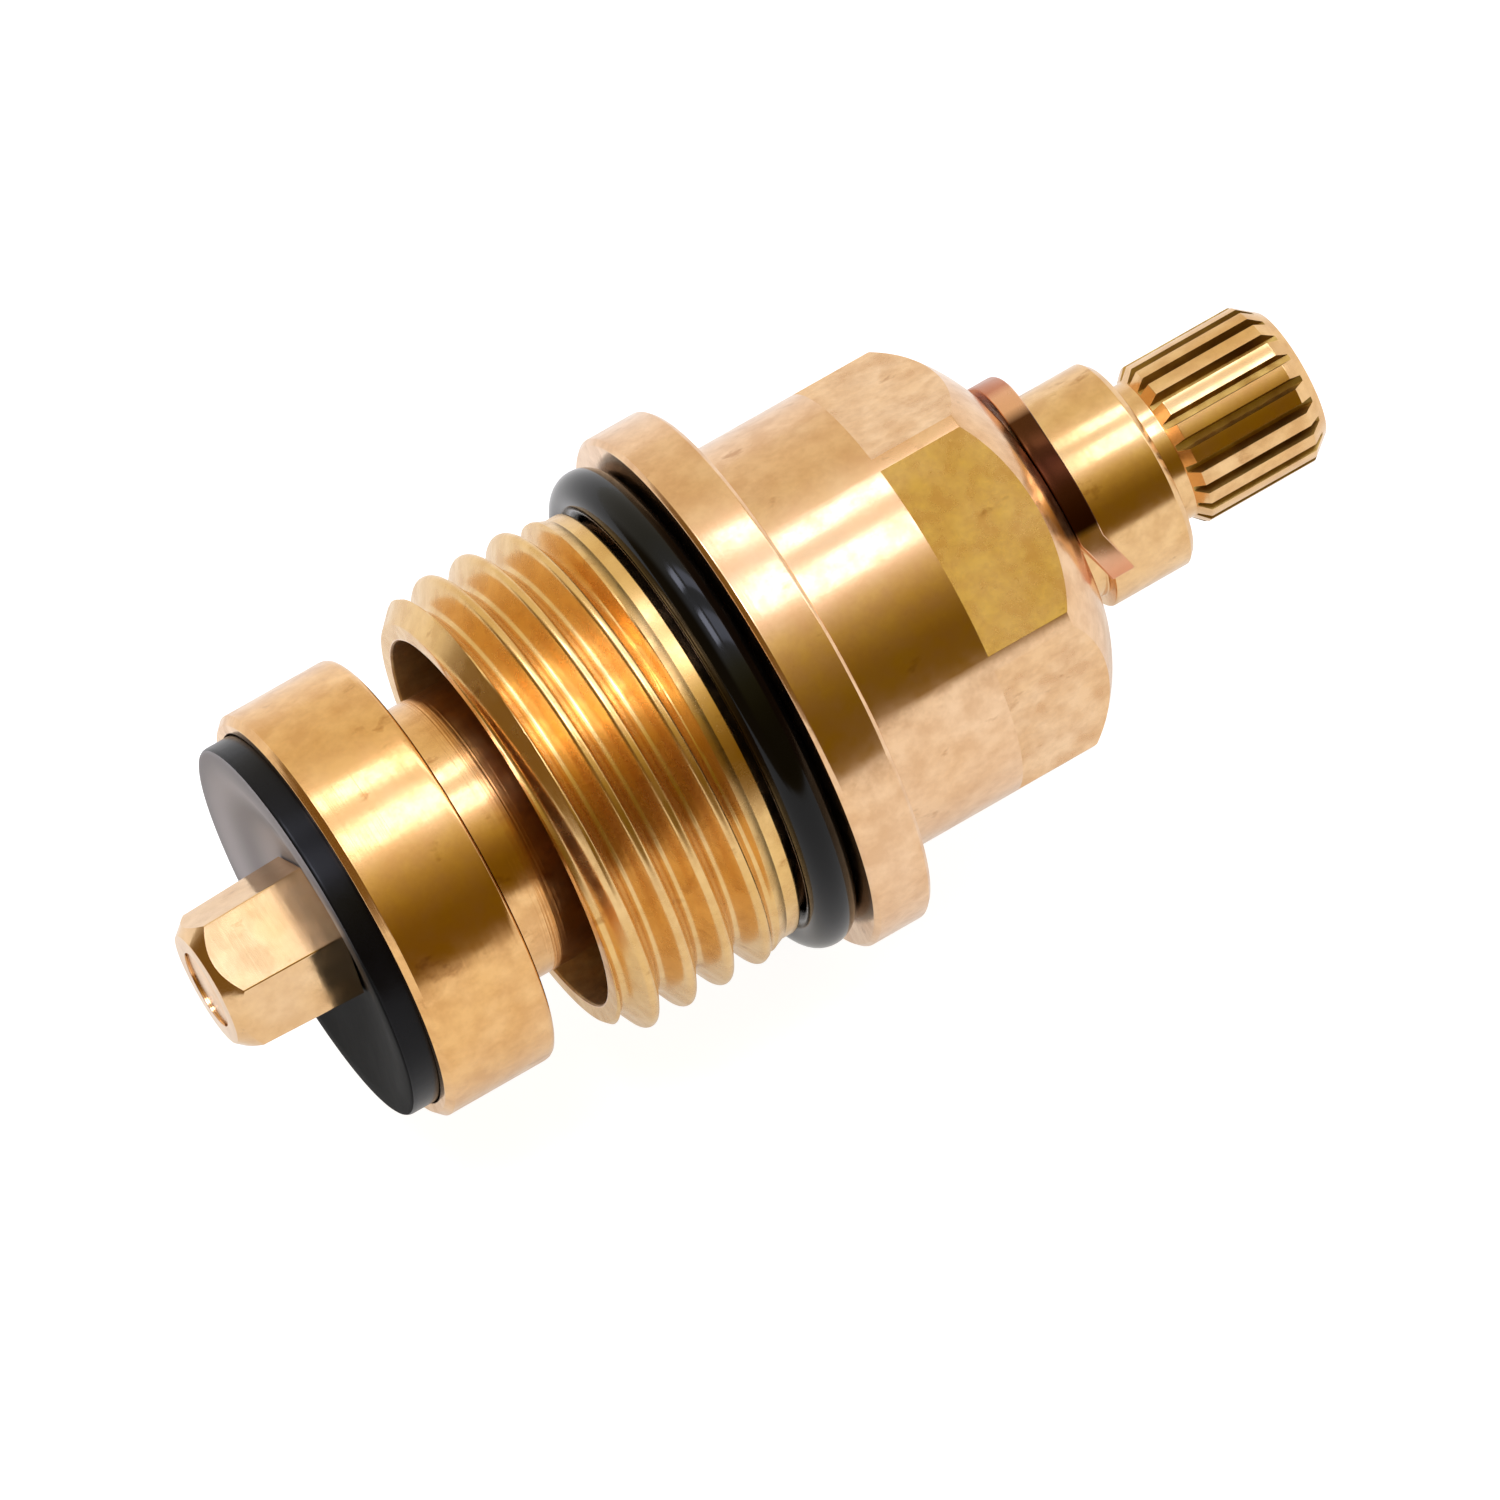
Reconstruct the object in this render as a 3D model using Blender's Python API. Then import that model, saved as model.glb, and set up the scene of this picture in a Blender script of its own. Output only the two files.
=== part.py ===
"""Tap headwork, the turning insert of a half-inch tap, lying on its side.

Sizes are in millimetres and MM turns them into Blender's metres. +X runs along the spindle towards
the handle end, +Z is up, and the origin is on the axis in the plane of the flange's seating face.
Places along the axis are worked out from the seating face, so one changed size carries its
neighbours with it. An angle round the axis counts from -Y, upwards over +Z.
"""

import math

import bmesh
import bpy
from mathutils import Matrix, Vector

MM = 0.001

# Body, outside. Its pipe thread is G 1/2, whose crest diameter this is.
THREAD_DIA = 20.955
THREAD_END_CHAMFER = 1.0
SKIRT_LENGTH = 11.0
LAND_STEP = 0.6275
LAND_LENGTH = 1.45
RING_GROOVE_DEPTH = 0.65
FLANGE_LEDGE = 1.6225
FLANGE_THICKNESS = 2.75
FLANGE_CHAMFER = 0.2
BARREL_LENGTH = 9.85
DOME_HEIGHT = 2.4
DOME_WIDTH = 3.2
DOME_RADIUS = 8.0
SPANNER_FLAT_DEPTH = 1.1
SPANNER_FLAT_LENGTH = 6.25

# Body, inside: a round skirt, a hexagonal guide for the jumper and a bore for the spindle.
SKIRT_WALL = 1.8275
SKIRT_BORE_DEPTH = 4.7
GUIDE_WALL = 1.52
BARREL_WALL = 1.82
BORE_MOUTH_CHAMFER = 0.3

# Spindle, from the drive thread at its foot to the splined head.
DRIVE_DIA = 8.0
DRIVE_LENGTH = 13.5
THRUST_SEAT_WIDTH = 1.45
THRUST_THICKNESS = 1.5
O_RING_GROOVE_DEPTH = 1.4
O_RING_LAND = 1.4
CLIP_GROOVE_DEPTH = 0.6
COLLAR_HEIGHT = 5.25
NECK_LENGTH = 0.95
NECK_RELIEF = 0.05
HEAD_DIA = 7.4
HEAD_LENGTH = 6.6
HEAD_FOOT_CHAMFER = 0.5
HEAD_CHAMFER = 0.75
HEAD_CHAMFER_LENGTH = 0.95
SPLINE_TEETH = 20
SPLINE_DEPTH = 0.45
SPLINE_CREST = 0.66
SPLINE_ROOT = 0.25
SPLINE_TURN = 5.4
SCREW_HOLE_DIA = 3.3
SCREW_HOLE_DEPTH = 10.0
SCREW_HOLE_CHAMFER = 0.35
SMALL_CHAMFER = 0.3

# Jumper, which the spindle's thread lifts and lowers, and what it carries.
LIFT = 2.6
DISC_DIA = 19.0
DISC_HEIGHT = 5.25
DISC_EDGE = 0.4
CUP_WALL = 0.75
CUP_DEPTH = 2.2
NECK_FILLET = 0.6
GUIDE_STEP = 0.1
GUIDE_LENGTH = 4.3
GUIDE_CORNER_BREAK = 0.1
STUD_DIA = 3.5
STUD_RECESS = 0.1
WASHER_PROUD = 1.25
WASHER_EDGE = 0.25
WASHER_LIP = 1.1
WASHER_DISH = 0.9
NUT_SEAT_MARGIN = 0.25
NUT_FLATS = 6.0
NUT_HEIGHT = 5.55
NUT_END_STEP = 0.28
NUT_CHAMFER_LENGTH = 0.85
NUT_TURN = 12.3

# Rings and the clip. The two spindle rings are squeezed between their groove and the bore.
BODY_RING_CORD = 2.0
O_RING_WIDTH = 1.7
THRUST_WASHER_THICKNESS = 0.5
CLIP_THICKNESS = 1.1
CLIP_WIDTH = 1.8
CLIP_OPENING = 100.0
CLIP_END_ANGLE = 18.0
CLIP_BEND_HEIGHT = 0.7
CLIP_BEND_STEPS = 2

# Clearances. The lift ends short of the skirt, and short of the bore's end and the spindle.
SEAT_GAP = 0.1
RUNNING_FIT = 0.05
GUIDE_CLEARANCE = 0.15
THRUST_CLEARANCE = 0.4
RING_SIDE_GAP = 0.2
STUD_CLEARANCE = 0.15
DISC_CLEARANCE = 0.3
LIFT_CLEARANCE = 1.3
BORE_END_CLEARANCE = 0.6

# Facets, and how far a cutter reaches past what it cuts.
BODY_STEPS = 60
SHAFT_STEPS = 48
SMALL_STEPS = 36
CORD_STEPS = 14
DOME_STEPS = 6
BEND_STEPS = 3
CLIP_STEP_ANGLE = 10.0
CUTTER_REACH = 0.5

# Diameters, worked from the pipe thread inwards and outwards.
LAND_DIA = THREAD_DIA - 2 * LAND_STEP
RING_GROOVE_DIA = LAND_DIA - 2 * RING_GROOVE_DEPTH
FLANGE_DIA = THREAD_DIA + 2 * FLANGE_LEDGE
SKIRT_BORE_DIA = THREAD_DIA - 2 * SKIRT_WALL
GUIDE_BORE_CORNERS = RING_GROOVE_DIA - 2 * GUIDE_WALL
GUIDE_BORE_FLATS = GUIDE_BORE_CORNERS * math.cos(math.radians(30))
BARREL_DIA = GUIDE_BORE_CORNERS + 2 * BARREL_WALL
CROWN_DIA = BARREL_DIA - 2 * DOME_WIDTH
SPANNER_FLATS = BARREL_DIA - 2 * SPANNER_FLAT_DEPTH
THRUST_DIA = GUIDE_BORE_FLATS - 2 * THRUST_CLEARANCE
SPINDLE_DIA = THRUST_DIA - 2 * THRUST_SEAT_WIDTH
SPINDLE_BORE_DIA = SPINDLE_DIA + 2 * RUNNING_FIT
O_RING_GROOVE_DIA = SPINDLE_DIA - 2 * O_RING_GROOVE_DEPTH
CLIP_GROOVE_DIA = SPINDLE_DIA - 2 * CLIP_GROOVE_DEPTH
NECK_DIA = HEAD_DIA - 2 * (SPLINE_DEPTH + NECK_RELIEF)
SCREW_HOLE_MOUTH_DIA = SCREW_HOLE_DIA + 2 * SCREW_HOLE_CHAMFER
GUIDE_FLATS = GUIDE_BORE_FLATS - 2 * GUIDE_CLEARANCE
GUIDE_CORNER_DIA = GUIDE_FLATS / math.cos(math.radians(30)) - 2 * GUIDE_CORNER_BREAK
JUMPER_NECK_DIA = GUIDE_FLATS - 2 * GUIDE_STEP
JUMPER_BORE_DIA = DRIVE_DIA + 2 * RUNNING_FIT
CUP_BORE_DIA = DISC_DIA - 2 * CUP_WALL
WASHER_DIA = CUP_BORE_DIA - 2 * RUNNING_FIT
NUT_END_DIA = NUT_FLATS - 2 * NUT_END_STEP

# Places along the axis, from the seating face.
RING_GROOVE_WIDTH = BODY_RING_CORD + 2 * RING_SIDE_GAP
O_RING_GROOVE_WIDTH = O_RING_WIDTH + 2 * RING_SIDE_GAP
SKIRT_END = -SKIRT_LENGTH
THREAD_TOP = -RING_GROOVE_WIDTH - LAND_LENGTH
SKIRT_BORE_TOP = SKIRT_END + SKIRT_BORE_DEPTH
DOME_START = FLANGE_THICKNESS + BARREL_LENGTH
CROWN = DOME_START + DOME_HEIGHT
SPANNER_FLAT_START = CROWN - SPANNER_FLAT_LENGTH
UPPER_GROOVE = CROWN - O_RING_LAND - O_RING_GROOVE_WIDTH
LOWER_GROOVE = UPPER_GROOVE - O_RING_LAND - O_RING_GROOVE_WIDTH
SHOULDER = LOWER_GROOVE - O_RING_LAND
THRUST_TOP = SHOULDER - THRUST_WASHER_THICKNESS - 2 * SEAT_GAP
THRUST_FOOT = THRUST_TOP - THRUST_THICKNESS
DRIVE_END = THRUST_FOOT - DRIVE_LENGTH
CLIP_FOOT = CROWN + SEAT_GAP
CLIP_TOP = CLIP_FOOT + CLIP_THICKNESS
COLLAR_TOP = CROWN + COLLAR_HEIGHT
HEAD_FOOT = COLLAR_TOP + NECK_LENGTH
HEAD_END = HEAD_FOOT + HEAD_LENGTH
DISC_TOP = SKIRT_END - LIFT - DISC_CLEARANCE
DISC_RIM = DISC_TOP - DISC_HEIGHT
CUP_FLOOR = DISC_RIM + CUP_DEPTH
GUIDE_TOP = THRUST_FOOT - LIFT - LIFT_CLEARANCE
GUIDE_FOOT = GUIDE_TOP - GUIDE_LENGTH
JUMPER_BORE_END = DRIVE_END - LIFT - BORE_END_CLEARANCE
WASHER_BACK = CUP_FLOOR - SEAT_GAP
WASHER_FACE = DISC_RIM - WASHER_PROUD
WASHER_SEAT = WASHER_FACE + WASHER_DISH
NUT_BACK = WASHER_SEAT - SEAT_GAP
NUT_FRONT = NUT_BACK - NUT_HEIGHT
STUD_END = NUT_FRONT + STUD_RECESS


def material(name, colour, roughness, metallic):
    made = bpy.data.materials.new(name)
    made.use_nodes = True
    shader = made.node_tree.nodes["Principled BSDF"]
    shader.inputs["Base Color"].default_value = (*colour, 1.0)
    shader.inputs["Roughness"].default_value = roughness
    shader.inputs["Metallic"].default_value = metallic
    return made


def new_object(name, bm, finish):
    """Make a bmesh in millimetres into an object in metres, its origin on the spindle axis."""
    bmesh.ops.scale(bm, vec=(MM, MM, MM), verts=bm.verts)
    mesh = bpy.data.meshes.new(name)
    bm.to_mesh(mesh)
    bm.free()
    mesh.shade_smooth()
    mesh.set_sharp_from_angle(angle=math.radians(30))
    made = bpy.data.objects.new(name, mesh)
    bpy.context.scene.collection.objects.link(made)
    if finish:
        mesh.materials.append(finish)
    return made


def cutter(name, bm):
    made = new_object(name, bm, None)
    made.hide_render = True
    made.display_type = "WIRE"
    return made


def cut(target, tool, operation="DIFFERENCE"):
    boolean = target.modifiers.new(tool.name, "BOOLEAN")
    boolean.operation = operation
    boolean.object = tool
    boolean.solver = "EXACT"


def place(x, radius, angle):
    """A point at a distance from the axis, its angle in degrees counted from -Y over +Z."""
    turn = math.radians(angle)
    return Vector((x, -radius * math.cos(turn), radius * math.sin(turn)))


def turned(profile, steps, closed):
    """Spin a profile of (x, radius) points round the axis. A closed one makes a ring."""
    bm = bmesh.new()
    points = [bm.verts.new(place(x, radius, 0)) for x, radius in profile]
    pairs = list(zip(points, points[1:]))
    if closed:
        pairs.append((points[-1], points[0]))
    edges = [bm.edges.new(pair) for pair in pairs]
    bmesh.ops.spin(bm, geom=points + edges, axis=(1, 0, 0), cent=(0, 0, 0),
                   angle=math.tau, steps=steps, use_merge=True)
    bmesh.ops.remove_doubles(bm, verts=bm.verts, dist=1e-5)
    bmesh.ops.recalc_face_normals(bm, faces=bm.faces)
    return bm


def arc(start, end, radius, steps):
    """Points on the arc from start to end that bulges away from the axis, both ends included."""
    first, last = Vector(start), Vector(end)
    chord = last - first
    outward = Vector((-chord.y, chord.x)).normalized()
    if outward.y < 0:
        outward.negate()
    depth = math.sqrt(radius * radius - chord.length_squared / 4)
    centre = (first + last) / 2 - outward * depth
    from_angle = math.atan2(first.y - centre.y, first.x - centre.x)
    to_angle = math.atan2(last.y - centre.y, last.x - centre.x)
    angles = [from_angle + (to_angle - from_angle) * i / steps for i in range(steps + 1)]
    return [(centre.x + radius * math.cos(a), centre.y + radius * math.sin(a)) for a in angles]


def bend(centre_x, centre_radius, size, start, end):
    """A rounded corner as points on its arc, angles in degrees from +X towards the outside."""
    angles = [math.radians(start + (end - start) * i / BEND_STEPS) for i in range(BEND_STEPS + 1)]
    return [(centre_x + size * math.cos(a), centre_radius + size * math.sin(a)) for a in angles]


def oval(centre_x, centre_radius, half_width, half_height):
    """The section of a ring of cord, round or squeezed."""
    angles = [math.tau * i / CORD_STEPS for i in range(CORD_STEPS)]
    return [(centre_x + half_width * math.cos(a), centre_radius + half_height * math.sin(a))
            for a in angles]


def hexagon(x, flats, turn=0.0):
    """Corners of a hexagon across the axis, with a flat square to the angle given by turn."""
    corner = flats / 2 / math.cos(math.radians(30))
    return [place(x, corner, 60 * i + 30 + turn) for i in range(6)]


def lofted(bm, sections):
    """Skin a row of outlines that have the same number of corners, and cap both ends."""
    rings = [[bm.verts.new(point) for point in section] for section in sections]
    for near, far in zip(rings, rings[1:]):
        for i in range(len(near)):
            after = (i + 1) % len(near)
            bm.faces.new((near[i], near[after], far[after], far[i]))
    bm.faces.new(rings[0])
    bm.faces.new(rings[-1])


def hexagon_prism(start, end, flats, turn=0.0):
    bm = bmesh.new()
    lofted(bm, [hexagon(start, flats, turn), hexagon(end, flats, turn)])
    bmesh.ops.recalc_face_normals(bm, faces=bm.faces)
    return bm


def flats_cutter(start, end, flats, outside):
    """A ring with a hexagonal hole, which leaves a round bar with six flats."""
    bm = bmesh.new()
    outer = [[bm.verts.new(place(x, outside, 60 * i + 30)) for i in range(6)] for x in (start, end)]
    inner = [[bm.verts.new(point) for point in hexagon(x, flats)] for x in (start, end)]
    for i in range(6):
        after = (i + 1) % 6
        for near, far in ((outer[0], outer[1]), (inner[0], inner[1]), (outer[0], inner[0]),
                          (outer[1], inner[1])):
            bm.faces.new((near[i], near[after], far[after], far[i]))
    bmesh.ops.recalc_face_normals(bm, faces=bm.faces)
    return bm


def body_profile():
    """Up the outside from the skirt's end to the crown, then back down the bores."""
    thread, bore = THREAD_DIA / 2, SPINDLE_BORE_DIA / 2
    flange, barrel = FLANGE_DIA / 2, BARREL_DIA / 2
    groove_foot = -RING_GROOVE_WIDTH
    outside = [
        (SKIRT_END, thread - THREAD_END_CHAMFER),
        (SKIRT_END + THREAD_END_CHAMFER, thread),
        (THREAD_TOP, thread),
        (THREAD_TOP + LAND_STEP, LAND_DIA / 2),
        (groove_foot, LAND_DIA / 2),
        (groove_foot, RING_GROOVE_DIA / 2),
        (0, RING_GROOVE_DIA / 2),
        (0, flange - FLANGE_CHAMFER),
        (FLANGE_CHAMFER, flange),
        (FLANGE_THICKNESS - FLANGE_CHAMFER, flange),
        (FLANGE_THICKNESS, flange - FLANGE_CHAMFER),
        (FLANGE_THICKNESS, barrel),
    ]
    dome = arc((DOME_START, barrel), (CROWN, CROWN_DIA / 2), DOME_RADIUS, DOME_STEPS)
    inside = [
        (CROWN, bore + BORE_MOUTH_CHAMFER),
        (CROWN - BORE_MOUTH_CHAMFER, bore),
        (SKIRT_BORE_TOP, bore),
        (SKIRT_BORE_TOP, SKIRT_BORE_DIA / 2),
        (SKIRT_END, SKIRT_BORE_DIA / 2),
    ]
    return outside + dome + inside


def make_body(finish):
    body = new_object("headwork_body", turned(body_profile(), BODY_STEPS, True), finish)
    top = CROWN + CUTTER_REACH
    flats = flats_cutter(SPANNER_FLAT_START, top, SPANNER_FLATS, BARREL_DIA)
    cut(body, cutter("spanner_flats_cutter", flats))
    guide = hexagon_prism(SKIRT_BORE_TOP - CUTTER_REACH, SHOULDER, GUIDE_BORE_FLATS)
    cut(body, cutter("guide_bore_cutter", guide))


def o_ring_groove(start):
    radius, floor = SPINDLE_DIA / 2, O_RING_GROOVE_DIA / 2
    end = start + O_RING_GROOVE_WIDTH
    return [(start, radius), (start, floor), (end, floor), (end, radius)]


def spindle_profile():
    """From the foot of the drive thread up to the head, then down the screw hole to the axis."""
    drive, collar, head = DRIVE_DIA / 2, SPINDLE_DIA / 2, HEAD_DIA / 2
    clip, neck = CLIP_GROOVE_DIA / 2, NECK_DIA / 2
    hole, mouth = SCREW_HOLE_DIA / 2, SCREW_HOLE_MOUTH_DIA / 2
    foot = [
        (DRIVE_END, 0),
        (DRIVE_END, drive - SMALL_CHAMFER),
        (DRIVE_END + SMALL_CHAMFER, drive),
        (THRUST_FOOT, drive),
        (THRUST_FOOT, THRUST_DIA / 2),
        (THRUST_TOP, THRUST_DIA / 2),
        (THRUST_TOP, collar),
    ]
    collar_part = [
        (CROWN, collar),
        (CROWN, clip),
        (CLIP_TOP + SEAT_GAP, clip),
        (CLIP_TOP + SEAT_GAP, collar),
        (COLLAR_TOP - SMALL_CHAMFER, collar),
        (COLLAR_TOP, collar - SMALL_CHAMFER),
        (COLLAR_TOP, neck),
    ]
    head_part = [
        (HEAD_FOOT, neck),
        (HEAD_FOOT + HEAD_FOOT_CHAMFER, head),
        (HEAD_END - HEAD_CHAMFER_LENGTH, head),
        (HEAD_END, head - HEAD_CHAMFER),
        (HEAD_END, mouth),
        (HEAD_END - SCREW_HOLE_CHAMFER, hole),
        (HEAD_END - SCREW_HOLE_DEPTH, hole),
        (HEAD_END - SCREW_HOLE_DEPTH - hole / 2, 0),
    ]
    grooves = o_ring_groove(LOWER_GROOVE) + o_ring_groove(UPPER_GROOVE)
    return foot + grooves + collar_part + head_part


def spline_cutter():
    """The gaps between the teeth: one tapered bar for each, spread evenly round the head."""
    head, root = HEAD_DIA / 2, HEAD_DIA / 2 - SPLINE_DEPTH
    gap = math.tau * head / SPLINE_TEETH - SPLINE_CREST
    top = head + SPLINE_DEPTH
    top_gap = gap + (gap - SPLINE_ROOT)
    section = [(root, -SPLINE_ROOT / 2), (root, SPLINE_ROOT / 2), (top, top_gap / 2),
               (top, -top_gap / 2)]
    bm = bmesh.new()
    for i in range(SPLINE_TEETH):
        middle = math.radians(SPLINE_TURN) + math.tau * (i + 0.5) / SPLINE_TEETH
        turn = Matrix.Rotation(-middle, 3, "X")
        ends = (HEAD_FOOT - CUTTER_REACH, HEAD_END + CUTTER_REACH)
        lofted(bm, [[turn @ Vector((x, -radius, side)) for radius, side in section]
                    for x in ends])
    bmesh.ops.recalc_face_normals(bm, faces=bm.faces)
    return bm


def make_spindle(finish):
    spindle = new_object("spindle", turned(spindle_profile(), SHAFT_STEPS, False), finish)
    cut(spindle, cutter("spline_gaps_cutter", spline_cutter()))


def jumper_profile():
    """From the stud's end up through the cup, disc and guide, then down the threaded bore."""
    stud, cup, disc = STUD_DIA / 2, CUP_BORE_DIA / 2, DISC_DIA / 2
    neck, guide, bore = JUMPER_NECK_DIA / 2, GUIDE_CORNER_DIA / 2, JUMPER_BORE_DIA / 2
    foot = [
        (STUD_END, 0),
        (STUD_END, stud - SMALL_CHAMFER),
        (STUD_END + SMALL_CHAMFER, stud),
        (CUP_FLOOR, stud),
        (CUP_FLOOR, cup),
        (DISC_RIM, cup),
        (DISC_RIM, disc - SMALL_CHAMFER),
        (DISC_RIM + SMALL_CHAMFER, disc),
    ]
    disc_edge = bend(DISC_TOP - DISC_EDGE, disc - DISC_EDGE, DISC_EDGE, 90, 0)
    fillet = bend(DISC_TOP + NECK_FILLET, neck + NECK_FILLET, NECK_FILLET, 180, 270)
    guide_part = [
        (GUIDE_FOOT, neck),
        (GUIDE_FOOT, guide),
        (GUIDE_TOP - SMALL_CHAMFER, guide),
        (GUIDE_TOP, guide - SMALL_CHAMFER),
        (GUIDE_TOP, bore + SMALL_CHAMFER),
        (GUIDE_TOP - SMALL_CHAMFER, bore),
        (JUMPER_BORE_END, bore),
        (JUMPER_BORE_END - bore / 4, 0),
    ]
    return foot + disc_edge + fillet + guide_part


def make_jumper(finish):
    jumper = new_object("jumper", turned(jumper_profile(), SHAFT_STEPS, False), finish)
    foot, top = GUIDE_FOOT - CUTTER_REACH, GUIDE_TOP + CUTTER_REACH
    flats = flats_cutter(foot, top, GUIDE_FLATS, GUIDE_CORNER_DIA)
    cut(jumper, cutter("guide_flats_cutter", flats))


def make_tap_washer(finish):
    """A rubber disc with a lip round its face, dished inwards to the flat seat of the nut."""
    hole, outside = STUD_DIA / 2 + STUD_CLEARANCE, WASHER_DIA / 2
    seat = NUT_FLATS / 2 / math.cos(math.radians(30)) + NUT_SEAT_MARGIN
    edge = bend(WASHER_FACE + WASHER_EDGE, outside - WASHER_EDGE, WASHER_EDGE, 180, 90)
    face = [(WASHER_SEAT, hole), (WASHER_SEAT, seat), (WASHER_FACE, outside - WASHER_LIP)]
    profile = [(WASHER_BACK, hole), *face, *edge, (WASHER_BACK, outside)]
    new_object("tap_washer", turned(profile, SHAFT_STEPS, True), finish)


def make_nut(finish):
    """A hexagon bar cut to the shape of a turned blank: a bore, and a chamfer at its outer end."""
    end, bore = NUT_END_DIA / 2, STUD_DIA / 2 + RUNNING_FIT
    corner = NUT_FLATS / 2 / math.cos(math.radians(30))
    outside = corner * 1.1
    slope = NUT_CHAMFER_LENGTH * (outside - end) / (corner - end)
    blank = [
        (NUT_FRONT, bore),
        (NUT_FRONT, end),
        (NUT_FRONT + slope, outside),
        (NUT_BACK, outside),
        (NUT_BACK, bore),
    ]
    start, stop = NUT_FRONT - CUTTER_REACH, NUT_BACK + CUTTER_REACH
    bar = hexagon_prism(start, stop, NUT_FLATS, NUT_TURN)
    nut = new_object("washer_nut", bar, finish)
    cut(nut, cutter("nut_blank", turned(blank, SMALL_STEPS, True)), "INTERSECT")


def make_rings(rubber, plastic):
    cord = BODY_RING_CORD / 2
    inside = RING_GROOVE_DIA / 2 + SEAT_GAP
    section = oval(-SEAT_GAP - cord, inside + cord, cord, cord)
    new_object("body_seal_ring", turned(section, BODY_STEPS, True), rubber)

    floor, wall = O_RING_GROOVE_DIA / 2, SPINDLE_BORE_DIA / 2
    squeezed = (wall - floor) / 2 - RUNNING_FIT
    for name, groove in (("spindle_o_ring_lower", LOWER_GROOVE),
                         ("spindle_o_ring_upper", UPPER_GROOVE)):
        middle = groove + O_RING_GROOVE_WIDTH / 2
        section = oval(middle, (floor + wall) / 2, O_RING_WIDTH / 2, squeezed)
        new_object(name, turned(section, SMALL_STEPS, True), rubber)

    foot, top = THRUST_TOP + SEAT_GAP, SHOULDER - SEAT_GAP
    inside = SPINDLE_DIA / 2 + SEAT_GAP
    section = [(foot, inside), (top, inside), (top, THRUST_DIA / 2), (foot, THRUST_DIA / 2)]
    new_object("thrust_washer", turned(section, SHAFT_STEPS, True), plastic)


def make_clip(finish):
    """A flat open ring: one section carried round its arc, with the first end bent outwards."""
    inside = CLIP_GROOVE_DIA / 2 + SEAT_GAP
    outside = inside + CLIP_WIDTH
    clear_of_collar = SPINDLE_DIA / 2 + SEAT_GAP
    steps = round((360 - CLIP_OPENING) / CLIP_STEP_ANGLE)
    sections = []
    for i in range(steps + 1):
        angle = CLIP_END_ANGLE + (360 - CLIP_OPENING) * i / steps
        bent = CLIP_BEND_HEIGHT * max(0, 1 - i / CLIP_BEND_STEPS)
        hub = clear_of_collar if i <= CLIP_BEND_STEPS else inside
        foot, top = CLIP_FOOT + bent, CLIP_TOP + bent
        sections.append([place(foot, hub, angle), place(foot, outside, angle),
                         place(top, outside, angle), place(top, hub, angle)])
    bm = bmesh.new()
    lofted(bm, sections)
    bmesh.ops.recalc_face_normals(bm, faces=bm.faces)
    new_object("spindle_circlip", bm, finish)


for old in list(bpy.data.objects):
    bpy.data.objects.remove(old)

make_body(material("body_brass", (0.60, 0.42, 0.17), 0.28, 1.0))
make_spindle(material("spindle_brass", (0.62, 0.44, 0.19), 0.22, 1.0))
make_jumper(material("jumper_brass", (0.61, 0.43, 0.18), 0.26, 1.0))
make_nut(material("nut_brass", (0.63, 0.45, 0.20), 0.25, 1.0))
make_clip(material("clip_bronze", (0.62, 0.29, 0.14), 0.32, 1.0))
make_tap_washer(material("washer_rubber", (0.03, 0.03, 0.032), 0.55, 0.0))
make_rings(material("seal_rubber", (0.012, 0.012, 0.013), 0.35, 0.0),
           material("washer_plastic", (0.85, 0.85, 0.82), 0.45, 0.0))
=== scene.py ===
import math

import bmesh
import bpy
from mathutils import Matrix, Vector


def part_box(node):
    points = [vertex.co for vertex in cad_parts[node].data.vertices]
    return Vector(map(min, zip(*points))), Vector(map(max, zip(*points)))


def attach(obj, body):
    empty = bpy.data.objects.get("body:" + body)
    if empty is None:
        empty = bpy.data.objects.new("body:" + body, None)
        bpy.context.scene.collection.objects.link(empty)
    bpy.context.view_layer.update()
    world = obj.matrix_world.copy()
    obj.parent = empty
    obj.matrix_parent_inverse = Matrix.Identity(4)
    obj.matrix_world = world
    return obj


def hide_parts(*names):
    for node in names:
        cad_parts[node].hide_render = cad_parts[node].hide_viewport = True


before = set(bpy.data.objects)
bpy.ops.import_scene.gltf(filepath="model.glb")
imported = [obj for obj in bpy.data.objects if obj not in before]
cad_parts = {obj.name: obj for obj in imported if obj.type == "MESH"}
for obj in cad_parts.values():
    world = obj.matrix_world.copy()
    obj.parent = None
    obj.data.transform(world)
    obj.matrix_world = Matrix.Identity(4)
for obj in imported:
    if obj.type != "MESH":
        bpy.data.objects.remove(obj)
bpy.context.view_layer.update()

# The body is a hot-forged brass blank, turned all over on a lathe. Its pipe thread is cut by a die,
# six spanner flats are milled through the dome, and a hexagonal hole is broached up its middle
# for the jumper to slide in. All the lengths here are millimetres, which MM makes into metres.
MM = 0.001
TURN_STEPS = 192
SKIRT_END, CROWN = (corner[0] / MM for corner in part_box("headwork_body"))
FLANGE_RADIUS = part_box("headwork_body")[1][2] / MM
CREST_RADIUS = 10.4775
THREAD_TOP = -3.85
LAND_RADIUS = 10.0
GROOVE_RADIUS = 9.2
GROOVE_FOOT = -2.4
FLANGE_TOP = 2.75
FLANGE_CHAMFER = 0.2
BARREL_RADIUS = 9.5
DOME_START = 12.6
DOME_RADIUS = 8.0
CROWN_RADIUS = 6.3
SPINDLE_BORE = 4.85
SKIRT_BORE = 8.65
SKIRT_FLOOR = -6.3
SKIRT_CHAMFER = 1.0
LATHE_CHAMFER = 0.3
EDGE_ROUNDING = 0.12
OVERSHOOT = 0.5
GUIDE_FLATS = 13.3
SHOULDER = 6.6
SPANNER_FLATS = 16.8
FLATS_START = 8.75

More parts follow.
